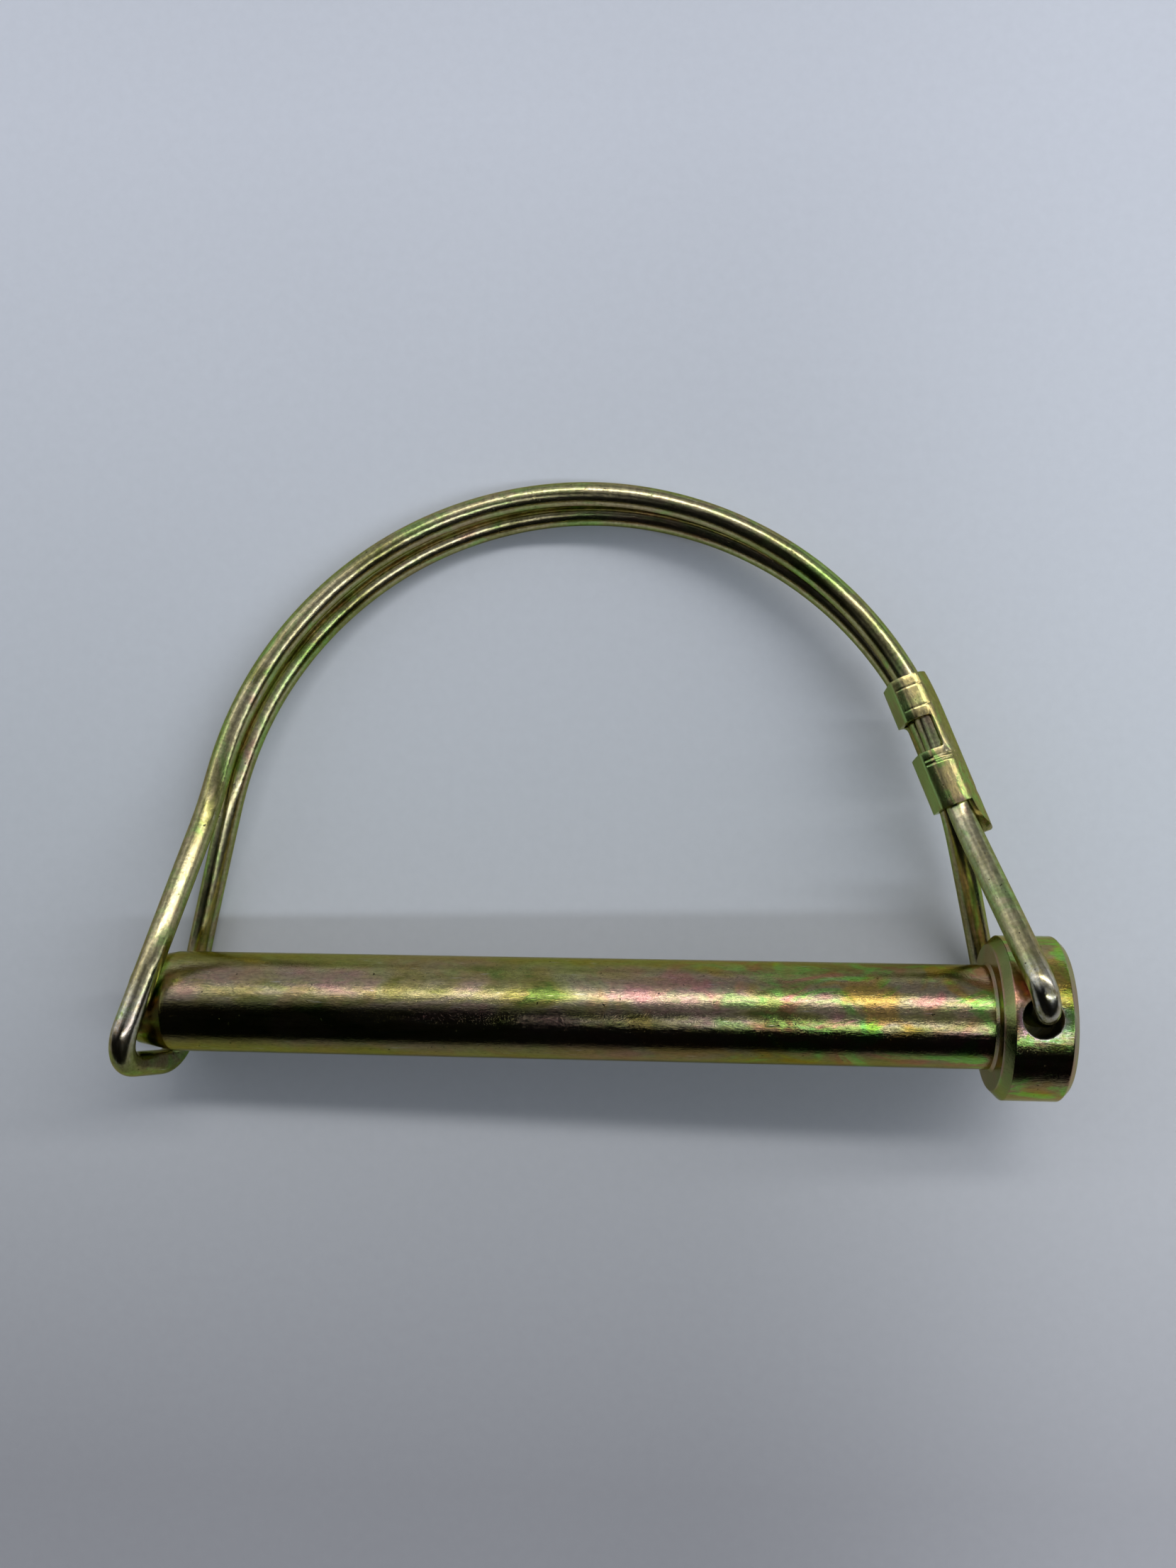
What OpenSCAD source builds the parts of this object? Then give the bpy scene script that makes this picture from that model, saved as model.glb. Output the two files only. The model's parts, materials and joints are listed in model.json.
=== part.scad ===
// Wire-lock hitch pin, lying on its side with the bail snapped over the tip.
//
// Three pieces: a headed pin with a tapered tip, a bail made of one spring wire bent double,
// and a rolled sheet-steel clip that keeps the bail's two strands side by side. The bail's two
// hooked ends sit in the cross-hole of the head, so it swings about that hole, and its closed
// loop catches under the tip. The bail is drawn as two halves that meet at the top of the arch,
// because the loop half has to spring out past the tip before the bail can swing.
//
// Origin: on the pin's axis, in the plane of the head's shoulder. +X runs to the head,
// +Y to the top of the arch and +Z along the cross-hole. "Lean" is an angle away from -Y.

/* [Pin] */
// Diameter of the shank
pin_d = 9.525; // [9:0.025:10]
// Shank length from the shoulder to the start of the tapered tip
grip = 76.8; // [76.5:0.1:77.2]
// Length of the tapered tip
tip_len = 3.7; // [3:0.1:3.8]
// Diameter of the flat end of the tip
tip_end_d = 8.2; // [7:0.1:8.4]
// Width of the small bevel round the end of the tip
tip_bevel = 0.4; // [0.2:0.05:0.6]
// Diameter of the head
head_d = 15; // [14.5:0.1:15.5]
// Width of the head along the pin
head_w = 6.35; // [6:0.05:7]
// Width of the rim chamfer on the shoulder side of the head
shoulder_chamfer = 0.85; // [0.3:0.05:1]
// Width of the rim chamfer on the outer side of the head
face_chamfer = 0.6; // [0.3:0.05:1]
// Diameter of the cross-hole in the head
hole_d = 3.4; // [3.4:0.05:3.7]
// Depth of the small bevel round each mouth of the cross-hole
hole_bevel = 0.06; // [0.04:0.01:0.15]

/* [Bail] */
// Diameter of the spring wire
wire_d = 2.4; // [2.2:0.05:2.4]
// Radius of the arch, to the middle of the wire
arch_r = 35.9; // [35.7:0.05:36.1]
// How much the front strand's arch radius exceeds that, and the rear one's falls short
arch_step = 0.15; // [0:0.01:0.2]
// Distance from the shoulder back to the middle of the arch
arch_back = 38.3; // [38.1:0.1:38.5]
// Height of the arch's centre over the pin's axis
arch_up = 14.2; // [14:0.1:14.4]
// Space left between the two strands where they lie side by side
strand_gap = 0.08; // [0.05:0.01:0.12]
// How far the front strand's arch stands past the rear one's
stagger = 1; // [0:0.05:1.1]
// Direction of that offset, as a lean
stagger_lean = 35; // [20:1:40]
// Offset of each hook from the middle of the loose cross-hole, along the pin
hook_side_shift = 0.22; // [0:0.01:0.25]
// Offset of both hooks from the middle of the cross-hole, towards the arch
hook_up_shift = 0.42; // [0.3:0.01:0.42]
// Depth that each hook reaches into the cross-hole
hook_depth = 4.6; // [3:0.1:6]
// Bend radius of the hooks
hook_bend_r = 2.3; // [1.8:0.1:2.6]
// Distance from the pin's axis to where hook and leg would meet without their bend
hook_corner_z = 11.3; // [11:0.1:11.8]
// How much further out that is on the rear hook than here, and how much nearer on the front one
hook_corner_step = 0.5; // [0:0.05:0.5]
// Half the width of the loop under the tip, to the middle of the wire
loop_half_w = 6.2; // [6.15:0.05:6.5]
// Depth of the loop's bottom under the pin's axis, to the middle of the wire
loop_drop = 6; // [6:0.05:6.3]
// Bend radius of the loop's two corners
loop_bend_r = 3.6; // [3:0.1:4.5]
// Mean lean of the loop's two legs
loop_lean = -12; // [-13:0.1:-11]
// How much more the front leg of the loop leans than the mean, and how much less the rear one does
loop_twist = 5; // [0:0.1:6]
// Mean distance behind the shoulder where the legs kink into the loop
kink_back = 77.15; // [77:0.05:77.3]
// How much less that is on the front leg than the mean, and how much more on the rear one
kink_step = 0.2; // [0:0.05:0.3]
// Height over the pin's axis where the legs kink into the loop
kink_up = 4.95; // [4.8:0.05:5.2]
// Distance of the kinks from the middle plane
kink_off = 5.9; // [5.85:0.05:6.2]
// Width of the cut between the two halves of the bail at the top of the arch
half_gap = 0.05; // [0.02:0.01:0.2]

/* [Clip] */
// Thickness of the sheet
sheet = 0.5; // [0.4:0.05:0.6]
// Length of the clip without its lip
clip_len = 12.9; // [11:0.1:13]
// Lean of the clip
clip_lean = 20.8; // [20.4:0.1:21]
// Inside width of the clip, across the wires
clip_in_w = 3.05; // [3.05:0.05:3.3]
// Clearance over and under the two wires inside the clip
clip_clear = 0.06; // [0.05:0.01:0.15]
// Inside corner radius of the clip's section
clip_corner = 1.3; // [1:0.05:1.4]
// Length of the window in the clip's inner side
window_len = 3.3; // [2:0.1:4]
// Distance from the clip's middle up to the window's middle
window_up = 0.5; // [-1:0.1:1.5]
// Distance that the window's far edge lies past the clip's middle, towards its outer side
window_past = 0.45; // [0:0.05:0.8]
// Length of the lip below the clip's outer side
lip_len = 3.3; // [2:0.1:4]
// Width of the lip's root, measured round from the clip's outer side
lip_depth = 1.1; // [0.8:0.1:1.4]

/* [Hidden] */

pin_r = pin_d / 2;
head_r = head_d / 2;
hole_r = hole_d / 2;
wire_r = wire_d / 2;
tip_end_x = -grip - tip_len;
hole_x = head_w / 2;
pin_fn = 96;
wire_fn = 40;
arc_fn = 160;
overcut = 1;

// The two strands lie on either side of z = 0 at this height
strand_z = wire_r + strand_gap / 2;
// Half of the cut at the top of the arch, as an angle round the arch's centre
cut_angle = half_gap / 2 / arch_r * 180 / PI;
arch_mid = [-arch_back, arch_up];

// Straight runs are thinner than the bends by this step in radius, and lap into them by this length
run_step = 0.01;
lap = 0.15;
// Bend radii where the legs spread apart, and where they kink into the loop
spread_r = 5;
kink_r = 6;
// Lengths of leg between the hooks and the clip, and of straight wire below the arch's other end
hook_leg_spread = 18.9;
loop_leg_straight = 1.8;

function unit(v) = v / norm(v);
function lift(p, z) = [p.x, p.y, z];
function from_minus_y(lean) = [sin(lean), -cos(lean)];

// Angle round centre c, radius r, where a line from point p touches the circle
function touch_angle(p, c, r, side) =
    let (d = p - c)
    atan2(d.y, d.x) + side * acos(r / norm(d));
function on_circle(c, r, a) = c + r * [cos(a), sin(a)];

// Places on the front strand (side = 1) or the rear one (side = -1)
function hook(side) = [hole_x + side * hook_side_shift, hook_up_shift];
function arch_c(side) = arch_mid - side * stagger / 2 * from_minus_y(stagger_lean);
function strand_r(side) = arch_r + side * arch_step;
function hook_touch(side) = touch_angle(hook(side), arch_c(side), strand_r(side), 1);
function kink(side) = [side * kink_step - kink_back, kink_up];
function loop_touch(side) = touch_angle(kink(side), arch_c(side), strand_r(side), -1) + 360;
function loop_foot(side) =
    let (lean = loop_lean - side * loop_twist)
    lift(kink(side) + (kink_up + loop_drop) / cos(lean) * from_minus_y(lean), side * loop_half_w);

// Deflection at b on the way a-b-c, and how far its bend of radius r reaches along each run
function turn(a, b, c) = acos(unit(b - a) * unit(c - b));
function reach(a, b, c, r) = r * tan(turn(a, b, c) / 2);

// A straight run of wire from a to b, lapped into whatever bends meet it there
module rod(a, b) {
    v = unit(b - a);
    translate(a - lap * v)
        rotate([0, acos(v.z), atan2(v.y, v.x)])
            cylinder(h = norm(b - a) + 2 * lap, r = wire_r - run_step, $fn = wire_fn);
}

// A bend of radius r that starts at point s going along t, about centre o, through angle a
module bend(o, s, t, r, a) {
    e = unit(s - o);
    k = cross(e, t);
    multmatrix([[e.x, t.x, k.x, o.x], [e.y, t.y, k.y, o.y], [e.z, t.z, k.z, o.z], [0, 0, 0, 1]])
        rotate_extrude(angle = a, $fn = arc_fn)
            translate([r, 0])
                circle(r = wire_r, $fn = wire_fn);
}

// Wire that runs through the points, bent to radii[i] at points[i]; end radii are 0
module bent_wire(points, radii) {
    last = len(points) - 1;
    cut = [for (i = [0:last]) i == 0 || i == last ? 0
        : reach(points[i - 1], points[i], points[i + 1], radii[i])];
    for (i = [0:last - 1]) {
        d = unit(points[i + 1] - points[i]);
        rod(points[i] + cut[i] * d, points[i + 1] - cut[i + 1] * d);
    }
    for (i = [1:last - 1]) {
        before = unit(points[i] - points[i - 1]);
        after = unit(points[i + 1] - points[i]);
        half_turn = turn(points[i - 1], points[i], points[i + 1]) / 2;
        start = points[i] - cut[i] * before;
        middle = points[i] + unit(after - before) * radii[i] / cos(half_turn);
        bend(middle, start, before, radii[i], 2 * half_turn);
    }
}

// Part of the arch of one strand, between two angles round the arch's centre
module arch_part(side, from, to) {
    translate(lift(arch_c(side), side * strand_z))
        rotate([0, 0, from])
            rotate_extrude(angle = to - from, $fn = arc_fn)
                translate([strand_r(side), 0])
                    circle(r = wire_r, $fn = wire_fn);
}

// From the hook's end in the cross-hole, round the hook, up the leg and into the arch
module hook_leg(side) {
    foot = on_circle(arch_c(side), strand_r(side), hook_touch(side));
    spread = hook(side) + hook_leg_spread * unit(foot - hook(side));
    bent_wire(
        [lift(hook(side), side * (head_r - hook_depth + lap)),
         lift(hook(side), side * hook_corner_z - hook_corner_step),
         lift(spread, side * strand_z), lift(foot, side * strand_z)],
        [0, hook_bend_r, spread_r, 0]);
}

// From the front strand's arch down its leg, round the loop and up to the rear strand's arch
module loop_legs() {
    front = on_circle(arch_c(1), strand_r(1), loop_touch(1));
    rear = on_circle(arch_c(-1), strand_r(-1), loop_touch(-1));
    front_spread = front + loop_leg_straight * unit(kink(1) - front);
    rear_spread = rear + loop_leg_straight * unit(kink(-1) - rear);
    bent_wire(
        [lift(front, strand_z), lift(front_spread, strand_z), lift(kink(1), kink_off),
         loop_foot(1), loop_foot(-1),
         lift(kink(-1), -kink_off), lift(rear_spread, -strand_z), lift(rear, -strand_z)],
        [0, spread_r, kink_r, loop_bend_r, loop_bend_r, kink_r, spread_r, 0]);
}

// A rectangle w by h with corner radius r, on its centre
module round_rect(w, h, r) {
    square([w - 2 * r, h], center = true);
    square([w, h - 2 * r], center = true);
    for (x = [-1, 1], y = [-1, 1])
        translate([x * (w / 2 - r), y * (h / 2 - r)])
            circle(r = r, $fn = 64);
}

clip_in_h = 4 * wire_r + strand_gap + 2 * clip_clear;
clip_out_w = clip_in_w + 2 * sheet;
clip_out_h = clip_in_h + 2 * sheet;
// The window leaves the rear of the clip whole from this height down
window_floor = -clip_in_h / 2 + 1;
// The clip's middle: this angle up the arch from the end of the hook legs, and this far inside
// the arch, because the wires still curve where it sits
clip_rise = 2.5;
clip_inset = 0.2;
clip_angle = touch_angle([hole_x, hook_up_shift], arch_mid, arch_r, 1) + clip_rise;
clip_mid = on_circle(arch_mid, arch_r - clip_inset, clip_angle);

// A length of the clip's tube, from y0 up to y1 in the clip's own frame
module tube(y0, y1) {
    translate([0, y1, 0])
        rotate([90, 0, 0])
            linear_extrude(y1 - y0)
                difference() {
                    round_rect(clip_out_w, clip_out_h, clip_corner + sheet);
                    round_rect(clip_in_w, clip_in_h, clip_corner);
                }
}

// What is cut off below the clip: all but the lip, which is the tube's outer side with a round end
module lip_cutter() {
    difference() {
        translate([-clip_out_w, -clip_len / 2 - 2 * lip_len, -clip_out_h])
            cube([2 * clip_out_w, 2 * lip_len, 2 * clip_out_h]);
        translate([clip_out_w / 2 - lip_depth, -clip_len / 2, 0])
            rotate([0, 90, 0])
                cylinder(h = clip_out_w, r = lip_len, $fn = 64);
    }
}

module hitch_pin() {
    outline = [
        [0, tip_end_x], [tip_end_d / 2 - tip_bevel, tip_end_x],
        [tip_end_d / 2, tip_end_x + tip_bevel], [pin_r, -grip], [pin_r, 0],
        [head_r - shoulder_chamfer, 0], [head_r, shoulder_chamfer],
        [head_r, head_w - face_chamfer], [head_r - face_chamfer, head_w], [0, head_w]];
    mouth_z = head_r - 2 * hole_bevel;
    color("goldenrod")
        difference() {
            rotate([0, 90, 0])
                rotate_extrude($fn = pin_fn)
                    polygon(outline);
            translate([hole_x, 0, -head_r - overcut])
                cylinder(h = 2 * (head_r + overcut), r = hole_r, $fn = 64);
            for (side = [0, 1])
                mirror([0, 0, side])
                    translate([hole_x, 0, mouth_z])
                        cylinder(h = overcut, r1 = hole_r, r2 = hole_r + overcut / 2, $fn = 64);
        }
}

module bail_hook_half() {
    color("darkkhaki")
        for (side = [-1, 1]) {
            hook_leg(side);
            arch_part(side, hook_touch(side), 90 - cut_angle);
        }
}

module bail_loop_half() {
    color("olivedrab") {
        for (side = [-1, 1])
            arch_part(side, 90 + cut_angle, loop_touch(side));
        loop_legs();
    }
}

module wire_clip() {
    color("yellowgreen")
        translate(lift(clip_mid, 0))
            rotate([0, 0, clip_lean])
                difference() {
                    tube(-clip_len / 2 - lip_len, clip_len / 2);
                    lip_cutter();
                    translate([window_past - clip_out_w, window_up - window_len / 2, window_floor])
                        cube([clip_out_w, window_len, clip_out_h]);
                }
}

hitch_pin();
bail_hook_half();
bail_loop_half();
wire_clip();
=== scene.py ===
import json
import math

import bmesh
import bpy
import numpy as np
from mathutils import Matrix, Vector


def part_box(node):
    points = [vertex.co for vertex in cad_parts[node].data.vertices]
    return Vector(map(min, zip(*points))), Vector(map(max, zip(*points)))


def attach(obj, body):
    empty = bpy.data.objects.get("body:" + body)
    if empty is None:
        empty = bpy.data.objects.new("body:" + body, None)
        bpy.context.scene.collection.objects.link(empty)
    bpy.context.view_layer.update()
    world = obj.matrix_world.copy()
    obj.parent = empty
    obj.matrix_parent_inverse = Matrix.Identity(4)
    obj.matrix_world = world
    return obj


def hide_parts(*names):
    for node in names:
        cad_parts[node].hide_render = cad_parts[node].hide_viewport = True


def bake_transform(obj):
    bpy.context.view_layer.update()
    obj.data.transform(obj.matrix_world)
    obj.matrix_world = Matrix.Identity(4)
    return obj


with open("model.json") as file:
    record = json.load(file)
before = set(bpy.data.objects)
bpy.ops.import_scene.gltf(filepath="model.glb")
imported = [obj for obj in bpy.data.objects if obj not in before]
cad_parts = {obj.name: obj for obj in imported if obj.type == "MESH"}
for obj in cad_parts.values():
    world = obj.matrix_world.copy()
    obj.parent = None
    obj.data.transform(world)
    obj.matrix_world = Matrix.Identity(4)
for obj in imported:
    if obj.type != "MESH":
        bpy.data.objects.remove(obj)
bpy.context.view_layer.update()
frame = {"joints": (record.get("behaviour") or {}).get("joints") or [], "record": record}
MM = 0.001

# ---------------------------------------------------------------- dimensions, in mm, from the frame
joints = {j["name"]: j for j in frame["joints"]}
HOLE_X = joints["bail_swing"]["pos_m"][0] / MM
pin_lo, pin_hi = (np.array(c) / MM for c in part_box("hitch_pin"))
clip_lo, clip_hi = (np.array(c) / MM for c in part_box("wire_clip"))
shank_mount = frame["record"]["mounts"][0]["dims"]

PIN_R = shank_mount["r_mm"]
GRIP = shank_mount["length_mm"]
HEAD_R = pin_hi[2]
HEAD_W = pin_hi[0]
TIP_X = pin_lo[0]
CLIP_OUT_H = clip_hi[2] - clip_lo[2]

# ---------------------------------------------------------------- dimensions, in mm, as in the CAD
TIP_R = 4.1
TIP_BEVEL = 0.4
SHOULDER_CHAMFER = 0.85
FACE_CHAMFER = 0.6
HOLE_R = 1.7

WIRE_R = 1.2
STRAND_Z = 1.24
ARCH_R = 35.9
ARCH_STEP = 0.15
ARCH_MID = np.array([-38.3, 14.2])
STAGGER = 1.0
STAGGER_LEAN = 35.0
HOOK_SHIFT = (0.22, 0.42)
HOOK_END_Z = HEAD_R - 4.6
HOOK_CORNER_Z = 11.3
HOOK_CORNER_STEP = 0.5
HOOK_BEND_R = 2.3
HOOK_LEG_SPREAD = 18.9
SPREAD_R = 5.0
KINK = (-77.15, 4.95)
KINK_STEP = 0.2
KINK_OFF = 5.9
KINK_R = 6.0
LOOP_BEND_R = 3.6
LOOP_HALF_W = 6.2
LOOP_DROP = 6.0
LOOP_LEAN = -12.0
LOOP_TWIST = 5.0
LOOP_LEG_STRAIGHT = 1.8

SHEET = 0.5
CLIP_LEAN = 20.8
CLIP_LEN = 12.9
CLIP_HALF = CLIP_LEN / 2
CLIP_OUT_W = 3.05 + 2 * SHEET
LIP_LEN = 3.3
LIP_DEPTH = 1.1

# ---------------------------------------------------------------- details of the visual model only, in mm
MOUTH_R = 0.14
MOUTH_DEPTH = 0.35
MOUTH_STEPS = 7
WIDE_BORE_R = HOLE_R + MOUTH_R
FILLET_R = 0.25
PIN_SIDES = 192
BORE_SIDES = 96
PROFILE_STEP = 1.6

WIRE_SIDES = 36
WIRE_STEP = 0.2
BEND_STEP = 0.5
ARCH_POINTS = 180
EASE_PASSES = 160
EASE_ALL_PASSES = 6
CUT_END = ((0.0, 0.0), (0.0, WIRE_R - 0.28), (0.08, WIRE_R - 0.09))

SEAM_GAP = 0.12
OUTLINE_GAP = 0.01
SECTION_POINTS = 4000
WINDOW_RIGHT = 0.42
WINDOW_LEFT = -1.0
WINDOW_BOTTOM = -1.0
WINDOW_TOP = 2.30
WINDOW_R = 0.45
WINDOW_ROWS = 8
LIP_ROWS = 9
LIP_POWER = 2.1
PRESSED_LINES = ((5.4, 0.025), (3.3, 0.025), (-1.75, 0.07), (-2.2, 0.07))
CLIP_AHEAD = 2.5
CLIP_INWARD = 0.2


# ---------------------------------------------------------------- small helpers
def unit(v):
    return v / np.linalg.norm(v)


def lift(p, z):
    return np.array([p[0], p[1], z])


def from_minus_y(lean):
    a = math.radians(lean)
    return np.array([math.sin(a), -math.cos(a)])


def on_circle(centre, r, degrees):
    a = math.radians(degrees)
    return centre + r * np.array([math.cos(a), math.sin(a)])


def touch_angle(p, centre, r, side):
    """Where on a circle the straight line from p touches it, in degrees."""
    d = p - centre
    return math.degrees(math.atan2(d[1], d[0]) + side * math.acos(r / np.linalg.norm(d)))


def smoothstep(a, b, x):
    t = np.clip((x - a) / (b - a), 0, 1)
    return t * t * (3 - 2 * t)


def ring_angles(count):
    return [2 * math.pi * k / count for k in range(count)]


def next_ids(verts, count):
    """Numbers of the vertices that come next."""
    return [len(verts) + k for k in range(count)]


def rounded(before_it, corner, after_it, r, steps=None, step=None):
    """Points along the round that takes a corner's place: so many steps, or steps of about one length."""
    corner = np.array(corner, float)
    before = unit(corner - np.array(before_it, float))
    after = unit(np.array(after_it, float) - corner)
    angle = math.acos(np.clip(before @ after, -1, 1))
    start = corner - before * r * math.tan(angle / 2)
    centre = corner + unit(after - before) * r / math.cos(angle / 2)
    out = unit(start - centre)
    if steps is None:
        steps = max(4, int(round(angle * r / step)))
    turns = [angle * k / steps for k in range(steps + 1)]
    return [centre + r * (out * math.cos(t) + before * math.sin(t)) for t in turns]


def bent(points, radii, step):
    """Points along straight runs joined by round bends."""
    out = []
    here = points[0]
    for i in range(1, len(points)):
        if i == len(points) - 1:
            bend = [points[i]]
        else:
            bend = rounded(points[i - 1], points[i], points[i + 1], radii[i], step=step * 0.6)
        n = max(1, int(round(np.linalg.norm(bend[0] - here) / step)))
        out += [here + (bend[0] - here) * k / n for k in range(n)]
        out += bend[:-1]
        here = bend[-1]
    out.append(here)
    return out


def ring_faces(rings, inward=False):
    """Faces between neighbouring rings of vertices. A ring of one vertex closes an end."""
    faces = []
    for a, b in zip(rings[:-1], rings[1:]):
        count = max(len(a), len(b))
        for k in range(count):
            j = (k + 1) % count
            if len(a) == 1:
                faces.append((a[0], b[j], b[k]))
            elif len(b) == 1:
                faces.append((a[k], a[j], b[0]))
            elif inward:
                faces.append((a[k], b[k], b[j], a[j]))
            else:
                faces.append((a[k], a[j], b[j], b[k]))
    return faces


def new_object(name, verts, faces, smooth=True):
    mesh = bpy.data.meshes.new(name)
    mesh.from_pydata([tuple(v) for v in verts], [], [tuple(f) for f in faces])
    mesh.update()
    if smooth:
        mesh.shade_smooth()
    obj = bpy.data.objects.new(name, mesh)
    bpy.context.scene.collection.objects.link(obj)
    return obj


def apply_modifiers(obj):
    bpy.context.view_layer.update()
    depsgraph = bpy.context.evaluated_depsgraph_get()
    mesh = bpy.data.meshes.new_from_object(obj.evaluated_get(depsgraph))
    obj.modifiers.clear()
    obj.data = mesh
    return mesh


def places_mm(mesh):
    return np.array([v.co for v in mesh.vertices]) / MM


def add_attribute(mesh, name, values):
    """Stores a number or a vector for each vertex."""
    values = np.asarray(values, np.float32)
    kind, field = ("FLOAT", "value") if values.ndim == 1 else ("FLOAT_VECTOR", "vector")
    mesh.attributes.new(name, kind, "POINT").data.foreach_set(field, values.ravel())


# ---------------------------------------------------------------- node kit
class Nodes:
    """Short calls that build the node tree of a material or a world."""

    def __init__(self, owner):
        self.owner = owner
        owner.use_nodes = True
        self.tree = owner.node_tree
        self.tree.nodes.clear()

    def add(self, kind, inputs=None, **props):
        n = self.tree.nodes.new(kind)
        for key, value in props.items():
            setattr(n, key, value)
        for key, value in (inputs or {}).items():
            self.put(n.inputs[key], value)
        return n

    def put(self, socket, value):
        """Links a socket to another one or to a node's first output, or sets its value."""
        if hasattr(value, "links"):
            self.tree.links.new(value, socket)
        elif hasattr(value, "outputs"):
            self.tree.links.new(value.outputs[0], socket)
        else:
            socket.default_value = value

    def math(self, operation, a, b=0.0, clamp=False):
        return self.add("ShaderNodeMath", {0: a, 1: b}, operation=operation, use_clamp=clamp).outputs[0]

    def times(self, a, b):
        return self.math("MULTIPLY", a, b)

    def plus(self, a, b):
        return self.math("ADD", a, b)

    def minus(self, a, b):
        return self.math("SUBTRACT", a, b)

    def vector_math(self, operation, a, b, output="Vector"):
        return self.add("ShaderNodeVectorMath", {0: a, 1: b}, operation=operation).outputs[output]

    def drawn(self, vec, along, across=1.0):
        """Scales a place along the piece and across it, so that a pattern is drawn out."""
        return self.vector_math("MULTIPLY", vec, (along, across, across))

    def part(self, vec, axis):
        return self.add("ShaderNodeSeparateXYZ", {"Vector": vec}).outputs[axis]

    def attribute(self, name, output):
        return self.add("ShaderNodeAttribute", attribute_name=name).outputs[output]

    def noise(self, vec, scale, detail, rough, distort=0.0):
        n = self.add("ShaderNodeTexNoise", {"Vector": vec, "Scale": scale, "Detail": detail,
                                            "Roughness": rough, "Distortion": distort})
        return n.outputs["Fac"]

    def ramp(self, fac, stops):
        """Colour ramp with stops (position, colour)."""
        n = self.add("ShaderNodeValToRGB", {"Fac": fac})
        elements = n.color_ramp.elements
        while len(elements) < len(stops):
            elements.new(0.5)
        for element, (position, colour) in zip(elements, stops):
            element.position = position
            element.color = (*colour, 1)
        return n.outputs["Color"]

    def remap(self, x, a, b, c=0.0, d=1.0, smooth=False):
        """Maps a to b onto c to d, and stays at c and d beyond them."""
        n = self.add("ShaderNodeMapRange", {"Value": x, "From Min": a, "From Max": b, "To Min": c, "To Max": d})
        if smooth:
            n.interpolation_type = "SMOOTHSTEP"
        return n.outputs["Result"]

    def mix(self, fac, a, b, blend="MIX"):
        n = self.add("ShaderNodeMix", data_type="RGBA", blend_type=blend)
        self.put(n.inputs["Factor"], fac)
        self.put(n.inputs["A"], a)
        self.put(n.inputs["B"], b)
        return n.outputs["Result"]

    def bump(self, height, depth_mm, normal=None):
        inputs = {"Height": height, "Strength": 1.0, "Distance": depth_mm * MM}
        if normal is not None:
            inputs["Normal"] = normal
        return self.add("ShaderNodeBump", inputs).outputs["Normal"]

    def finish(self, shader, output="ShaderNodeOutputMaterial"):
        self.put(self.add(output).inputs["Surface"], shader)
        return self.owner


# ---------------------------------------------------------------- the wire: one continuous sweep
# In these functions side is 1 for the front strand and -1 for the rear one
def hook_at(side):
    return np.array([HOLE_X + side * HOOK_SHIFT[0], HOOK_SHIFT[1]])


def arch_mid(side):
    return ARCH_MID - side * STAGGER / 2 * from_minus_y(STAGGER_LEAN)


def strand_r(side):
    return ARCH_R + side * ARCH_STEP


def kink_at(side):
    return np.array([KINK[0] + side * KINK_STEP, KINK[1]])


def loop_foot(side):
    lean = LOOP_LEAN - side * LOOP_TWIST
    run = (KINK[1] + LOOP_DROP) / math.cos(math.radians(lean))
    return lift(kink_at(side) + run * from_minus_y(lean), side * LOOP_HALF_W)


def arch_start(side):
    return touch_angle(hook_at(side), arch_mid(side), strand_r(side), 1)


def hook_leg(side):
    """From the hook's end in the cross-hole up to the start of the arch."""
    foot = on_circle(arch_mid(side), strand_r(side), arch_start(side))
    spread = hook_at(side) + HOOK_LEG_SPREAD * unit(foot - hook_at(side))
    points = [lift(hook_at(side), side * HOOK_END_Z),
              lift(hook_at(side), side * HOOK_CORNER_Z - HOOK_CORNER_STEP),
              lift(spread, side * STRAND_Z), lift(foot, side * STRAND_Z)]
    return bent(points, [0, HOOK_BEND_R, SPREAD_R, 0], BEND_STEP)


def arch(side):
    end = touch_angle(kink_at(side), arch_mid(side), strand_r(side), -1) + 360
    return [lift(on_circle(arch_mid(side), strand_r(side), t), side * STRAND_Z)
            for t in np.linspace(arch_start(side), end, ARCH_POINTS)]


def loop_legs():
    """From the front arch's end round the loop under the tip to the rear arch's end."""
    front, rear = arch(1)[-1][:2], arch(-1)[-1][:2]
    front_spread = front + LOOP_LEG_STRAIGHT * unit(kink_at(1) - front)
    rear_spread = rear + LOOP_LEG_STRAIGHT * unit(kink_at(-1) - rear)
    points = [lift(front, STRAND_Z), lift(front_spread, STRAND_Z), lift(kink_at(1), KINK_OFF), loop_foot(1),
              loop_foot(-1), lift(kink_at(-1), -KINK_OFF), lift(rear_spread, -STRAND_Z), lift(rear, -STRAND_Z)]
    radii = [0, SPREAD_R, KINK_R, LOOP_BEND_R, LOOP_BEND_R, KINK_R, SPREAD_R, 0]
    return bent(points, radii, BEND_STEP)


def resample(points, step):
    """Evenly spaced points along a line, and the length along it at each."""
    p = np.array(points)
    keep = [0] + [i for i in range(1, len(p)) if np.linalg.norm(p[i] - p[i - 1]) > 1e-6]
    p = p[keep]
    s = np.concatenate([[0], np.cumsum(np.linalg.norm(np.diff(p, axis=0), axis=1))])
    t = np.linspace(0, s[-1], int(s[-1] / step) + 1)
    return np.stack([np.interp(t, s, p[:, k]) for k in range(3)], 1), t


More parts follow.
